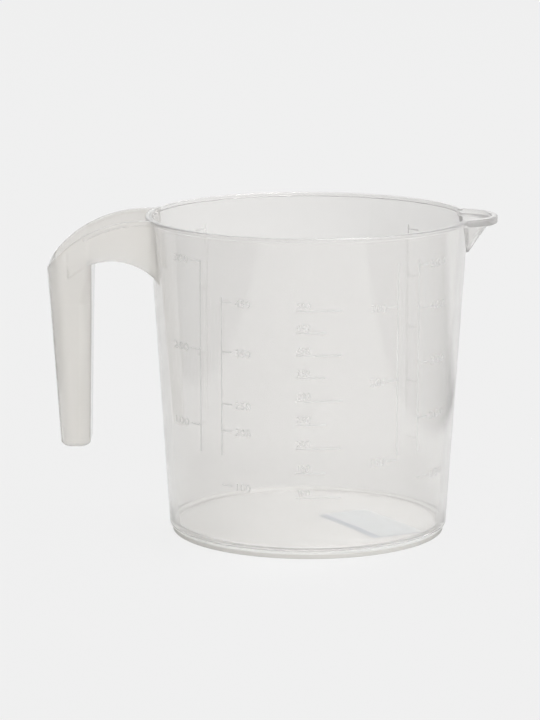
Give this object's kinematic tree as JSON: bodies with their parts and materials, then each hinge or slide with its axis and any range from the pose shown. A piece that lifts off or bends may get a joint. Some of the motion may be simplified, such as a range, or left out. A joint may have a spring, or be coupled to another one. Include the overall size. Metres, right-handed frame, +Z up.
{
  "type": "measuring jug",
  "caption": "Small measuring jug of frosted clear plastic with a tapered body, a pouring spout, raised scales and a trough handle whose hollow grip hangs free.",
  "frame": {"origin": "on the jug's axis, at the level of the table that its foot ring stands on", "axes": "+Z up along the jug's axis, +X towards the pouring spout, -X towards the handle, -Y is the side with the millilitre scale"},
  "size_m": [0.1432, 0.104, 0.102],
  "materials": {
    "frosted_plastic": "translucent natural polypropylene, lightly frosted, with a soft shine",
    "raised_marks": "the same polypropylene, as raised lines that catch the light",
    "paper_label": "blank matt paper label, stuck under the floor"
  },
  "bodies": {
    "root": {"side_wall": "frosted_plastic", "base_floor": "frosted_plastic", "foot_ring": "frosted_plastic", "gate_mark": "frosted_plastic", "rim_bead": "frosted_plastic", "pour_spout": "frosted_plastic", "spout_lip": "frosted_plastic", "handle_front_web": "frosted_plastic", "handle_back_web": "frosted_plastic", "handle_bridge_floor": "frosted_plastic", "handle_front_flange": "frosted_plastic", "handle_back_flange": "frosted_plastic", "grip_shell": "frosted_plastic", "grip_end": "frosted_plastic", "ml_scale": "raised_marks", "left_outer_scale": "raised_marks", "left_inner_scale": "raised_marks", "right_inner_scale": "raised_marks", "right_outer_scale": "raised_marks", "back_left_scale": "raised_marks", "back_right_scale": "raised_marks", "base_label": "paper_label"}
  },
  "joints": []
}
